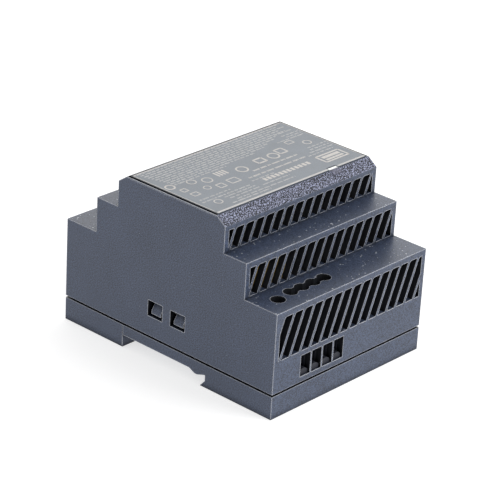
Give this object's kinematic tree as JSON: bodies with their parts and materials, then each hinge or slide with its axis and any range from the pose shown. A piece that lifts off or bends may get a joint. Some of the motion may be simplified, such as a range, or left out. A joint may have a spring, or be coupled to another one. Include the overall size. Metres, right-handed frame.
{
  "type": "din rail power supply",
  "caption": "Stepped, louvred power supply module that hooks onto a top-hat rail, with clamp terminals, a voltage adjuster, a status lamp and a sprung sliding latch.",
  "frame": {"origin": "centre of the bounding box's underside, in the plane of the base's rail-side face", "axes": "+X along the rail, +Y from the output terminals to the input terminals and the latch, +Z from the rail to the label"},
  "size_m": [0.07, 0.09, 0.059],
  "materials": {
    "shell_plastic": "dark blue-grey, fine spark-eroded grain",
    "label_film": "light grey printed film, satin",
    "latch_plastic": "near black, fine matte",
    "spring_steel": "bright drawn wire",
    "terminal_dark": "near black, matte",
    "terminal_pale": "pale grey, satin",
    "adjuster_blue": "blue, satin",
    "adjuster_pale": "off-white, satin",
    "light_guide": "milky clear plastic",
    "lamp_body": "diffused pale green",
    "board": "green solder mask",
    "fuse_case": "black, satin",
    "disc_blue": "blue epoxy coat",
    "thermistor_coat": "dark coated ceramic",
    "filter_yellow": "yellow case, satin",
    "ferrite": "dark ferrite",
    "winding_copper": "enamelled copper",
    "tape_yellow": "yellow tape",
    "package_black": "black moulding compound",
    "can_sleeve": "dark sleeve",
    "heatsink": "mill finish",
    "screw_steel": "nickel-plated steel",
    "cage_steel": "zinc-plated steel",
    "contact_brass": "tinned brass"
  },
  "bodies": {
    "case": {"front_housing": "shell_plastic", "rear_base": "shell_plastic", "front_label": "label_film", "latch_spring": "spring_steel", "output_terminal_block": "terminal_dark", "input_terminal_block": "terminal_pale", "adjuster_body": "adjuster_blue", "light_guide": "light_guide", "status_led": "lamp_body", "main_board": "board", "fuse": "fuse_case", "varistor": "disc_blue", "safety_capacitor": "disc_blue", "thermistor": "thermistor_coat", "filter_capacitor": "filter_yellow", "choke_core": "ferrite", "transformer_core": "ferrite", "output_choke": "ferrite", "choke_winding_1": "winding_copper", "choke_winding_2": "winding_copper", "transformer_winding": "tape_yellow", "bridge_rectifier": "package_black", "switching_transistor": "package_black", "output_rectifier": "package_black", "optocoupler": "package_black", "controller_chip": "package_black", "bulk_capacitor": "can_sleeve", "output_capacitor_1": "can_sleeve", "output_capacitor_2": "can_sleeve", "primary_heatsink": "heatsink", "secondary_heatsink": "heatsink", "output_contact_1": "contact_brass", "output_contact_2": "contact_brass", "output_contact_3": "contact_brass", "output_contact_4": "contact_brass", "input_contact_1": "contact_brass", "input_contact_2": "contact_brass"},
    "latch": {"rail_latch": "latch_plastic"},
    "adjuster_dial": {"adjuster_rotor": "adjuster_pale"},
    "output_screw_1_body": {"output_screw_1": "screw_steel"},
    "output_cage_1_body": {"output_cage_1": "cage_steel"},
    "output_screw_2_body": {"output_screw_2": "screw_steel"},
    "output_cage_2_body": {"output_cage_2": "cage_steel"},
    "output_screw_3_body": {"output_screw_3": "screw_steel"},
    "output_cage_3_body": {"output_cage_3": "cage_steel"},
    "output_screw_4_body": {"output_screw_4": "screw_steel"},
    "output_cage_4_body": {"output_cage_4": "cage_steel"},
    "input_screw_1_body": {"input_screw_1": "screw_steel"},
    "input_cage_1_body": {"input_cage_1": "cage_steel"},
    "input_screw_2_body": {"input_screw_2": "screw_steel"},
    "input_cage_2_body": {"input_cage_2": "cage_steel"}
  },
  "joints": [
    {"name": "latch_slide", "type": "slide", "parent": "case", "child": "latch", "axis": [0, 1, 0], "range_m": [0, 0.005], "stiffness_N_per_m": 1500, "springref_m": -0.002, "deforming": ["latch_spring"]},
    {"name": "adjuster_turn", "type": "hinge", "parent": "case", "child": "adjuster_dial", "pos_m": [-0.0272, -0.03825, 0.0168], "axis": [0, 0, -1], "range_deg": [-135, 135]},
    {"name": "output_screw_1_turn", "type": "hinge", "parent": "case", "child": "output_screw_1_body", "pos_m": [-0.0205, -0.0372, 0.0213], "axis": [0, 0, -1], "range_deg": [0, 2160]},
    {"name": "output_cage_1_rise", "type": "slide", "parent": "case", "child": "output_cage_1_body", "axis": [0, 0, 1], "range_m": [0, 0.003]},
    {"name": "output_screw_2_turn", "type": "hinge", "parent": "case", "child": "output_screw_2_body", "pos_m": [-0.01542, -0.0372, 0.0213], "axis": [0, 0, -1], "range_deg": [0, 2160]},
    {"name": "output_cage_2_rise", "type": "slide", "parent": "case", "child": "output_cage_2_body", "axis": [0, 0, 1], "range_m": [0, 0.003]},
    {"name": "output_screw_3_turn", "type": "hinge", "parent": "case", "child": "output_screw_3_body", "pos_m": [-0.01034, -0.0372, 0.0213], "axis": [0, 0, -1], "range_deg": [0, 2160]},
    {"name": "output_cage_3_rise", "type": "slide", "parent": "case", "child": "output_cage_3_body", "axis": [0, 0, 1], "range_m": [0, 0.003]},
    {"name": "output_screw_4_turn", "type": "hinge", "parent": "case", "child": "output_screw_4_body", "pos_m": [-0.00526, -0.0372, 0.0213], "axis": [0, 0, -1], "range_deg": [0, 2160]},
    {"name": "output_cage_4_rise", "type": "slide", "parent": "case", "child": "output_cage_4_body", "axis": [0, 0, 1], "range_m": [0, 0.003]},
    {"name": "input_screw_1_turn", "type": "hinge", "parent": "case", "child": "input_screw_1_body", "pos_m": [0.009, 0.0372, 0.0213], "axis": [0, 0, -1], "range_deg": [0, 2160]},
    {"name": "input_cage_1_rise", "type": "slide", "parent": "case", "child": "input_cage_1_body", "axis": [0, 0, 1], "range_m": [0, 0.003]},
    {"name": "input_screw_2_turn", "type": "hinge", "parent": "case", "child": "input_screw_2_body", "pos_m": [0.01662, 0.0372, 0.0213], "axis": [0, 0, -1], "range_deg": [0, 2160]},
    {"name": "input_cage_2_rise", "type": "slide", "parent": "case", "child": "input_cage_2_body", "axis": [0, 0, 1], "range_m": [0, 0.003]}
  ],
  "couplings": [
    {"joint": "output_screw_1_turn", "follows": "output_cage_1_rise", "rad_per_m": 12566},
    {"joint": "output_screw_2_turn", "follows": "output_cage_2_rise", "rad_per_m": 12566},
    {"joint": "output_screw_3_turn", "follows": "output_cage_3_rise", "rad_per_m": 12566},
    {"joint": "output_screw_4_turn", "follows": "output_cage_4_rise", "rad_per_m": 12566},
    {"joint": "input_screw_1_turn", "follows": "input_cage_1_rise", "rad_per_m": 12566},
    {"joint": "input_screw_2_turn", "follows": "input_cage_2_rise", "rad_per_m": 12566}
  ]
}
